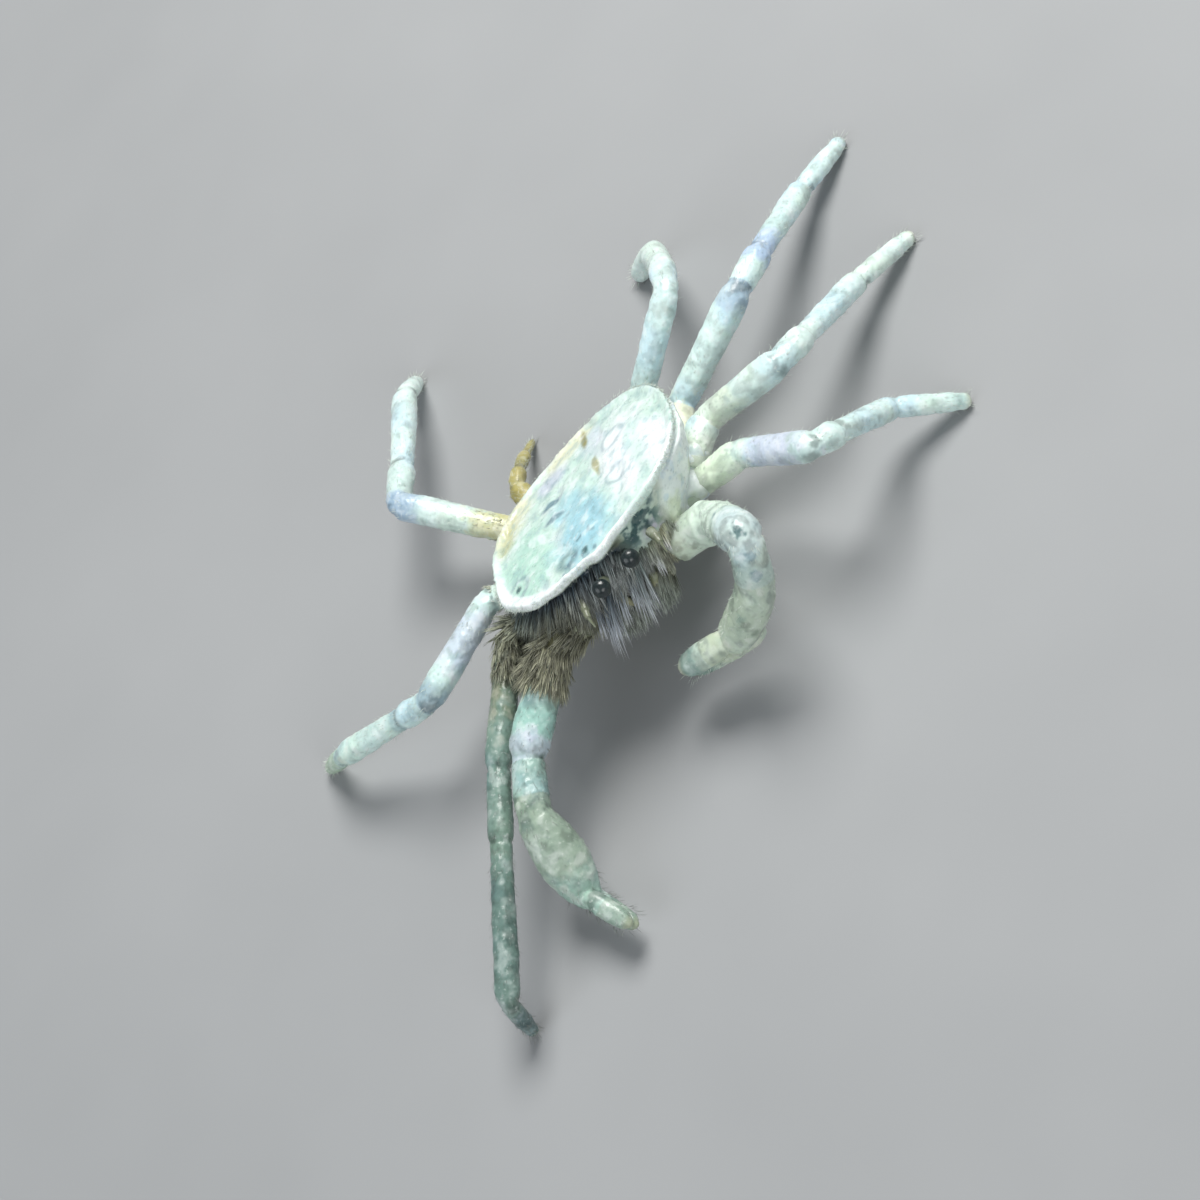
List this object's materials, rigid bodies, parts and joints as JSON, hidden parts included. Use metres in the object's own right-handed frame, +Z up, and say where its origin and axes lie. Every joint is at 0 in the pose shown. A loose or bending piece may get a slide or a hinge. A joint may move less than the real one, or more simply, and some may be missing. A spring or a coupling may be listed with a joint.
{
  "type": "thai micro crab",
  "caption": "Tiny pale freshwater crab with a flat rimmed round shield, hairy face, two claws and long thin legs, standing still as a life-size display model.",
  "frame": {"origin": "on the floor, under the middle of the crab's span", "axes": "+X towards the crab's left, -Y towards its front, +Z up from the floor"},
  "size_m": [0.0256, 0.024, 0.0061],
  "materials": {
    "shield": "satin, pale blue-green with a whiter rim and darker mottling",
    "limbs": "satin, greenish white with fine grey-green mottling",
    "hair": "matte, olive-brown bristles",
    "eyes": "glossy, nearly black"
  },
  "bodies": {
    "root": {"cephalothorax": "shield", "abdomen": "shield", "left_leg_2": "limbs", "right_leg_2": "limbs", "left_leg_3": "limbs", "right_leg_3": "limbs", "left_leg_4": "limbs", "right_leg_4": "limbs", "left_leg_5": "limbs", "right_leg_5": "limbs", "left_claw_arm": "limbs", "left_claw_hand": "limbs", "left_claw_finger": "limbs", "right_claw_arm": "limbs", "right_claw_hand": "limbs", "right_claw_finger": "limbs", "left_antenna": "limbs", "right_antenna": "limbs", "left_maxilliped": "hair", "right_maxilliped": "hair", "left_eye": "eyes", "right_eye": "eyes"}
  },
  "joints": []
}
